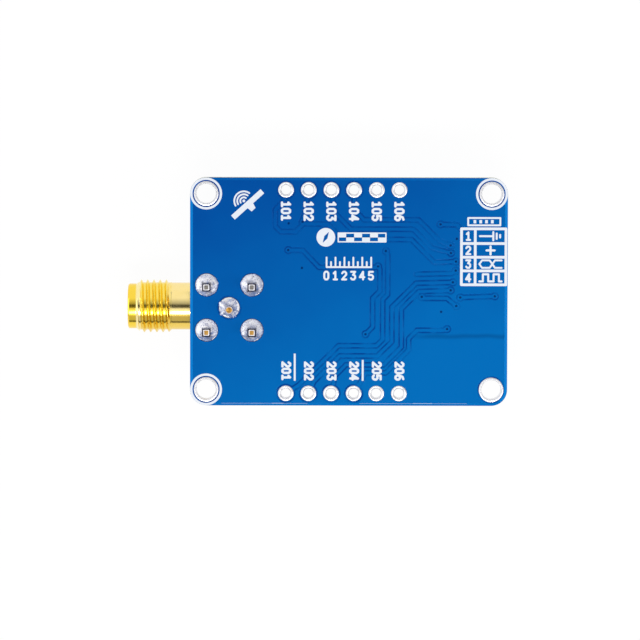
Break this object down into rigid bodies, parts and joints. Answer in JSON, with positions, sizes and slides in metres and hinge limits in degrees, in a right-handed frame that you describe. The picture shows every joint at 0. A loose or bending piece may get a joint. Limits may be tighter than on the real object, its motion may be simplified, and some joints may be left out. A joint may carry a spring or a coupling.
{
  "type": "gps module",
  "caption": "Satellite receiver breakout board with a right-angle threaded antenna jack, shielded receiver, cable socket, header holes and corner mounting holes",
  "frame": {"origin": "the middle of the mounting-hole pattern, on the solder-side face of the board", "axes": "+Z out of the solder side, +X along the board away from the antenna jack, +Y across the board"},
  "size_m": [0.0427, 0.0256, 0.0103],
  "materials": {
    "board": "gloss",
    "tin": "satin",
    "gold": "polished",
    "insulator": "matte",
    "solder": "satin",
    "carrier": "gloss",
    "shield": "satin",
    "chip": "matte",
    "socket": "satin",
    "capacitor": "satin",
    "resistor": "satin",
    "lamp": "gloss"
  },
  "bodies": {
    "root": {"circuit_board": "board", "mounting_hole_linings": "tin", "upper_header_linings": "tin", "lower_header_linings": "tin", "jack_hole_linings": "tin", "socket_anchor_1": "tin", "socket_anchor_2": "tin", "jack_shell": "gold", "jack_contact": "gold", "jack_rear_cap": "gold", "socket_contact_1": "gold", "socket_contact_2": "gold", "socket_contact_3": "gold", "socket_contact_4": "gold", "jack_insulator": "insulator", "jack_pin_insulator": "insulator", "signal_solder": "solder", "ground_solder_1": "solder", "ground_solder_2": "solder", "ground_solder_3": "solder", "ground_solder_4": "solder", "receiver_solder": "solder", "receiver_carrier": "carrier", "receiver_shield": "shield", "reference_oscillator": "shield", "receiver_chip": "chip", "antenna_filter": "chip", "socket_housing": "socket", "antenna_capacitor": "capacitor", "bias_inductor": "capacitor", "bypass_capacitor_1": "capacitor", "bypass_capacitor_2": "capacitor", "bypass_capacitor_3": "capacitor", "pull_up_resistor_1": "resistor", "pull_up_resistor_2": "resistor", "lamp_resistor_1": "resistor", "lamp_resistor_2": "resistor", "power_lamp": "lamp", "pulse_lamp": "lamp"}
  },
  "joints": []
}
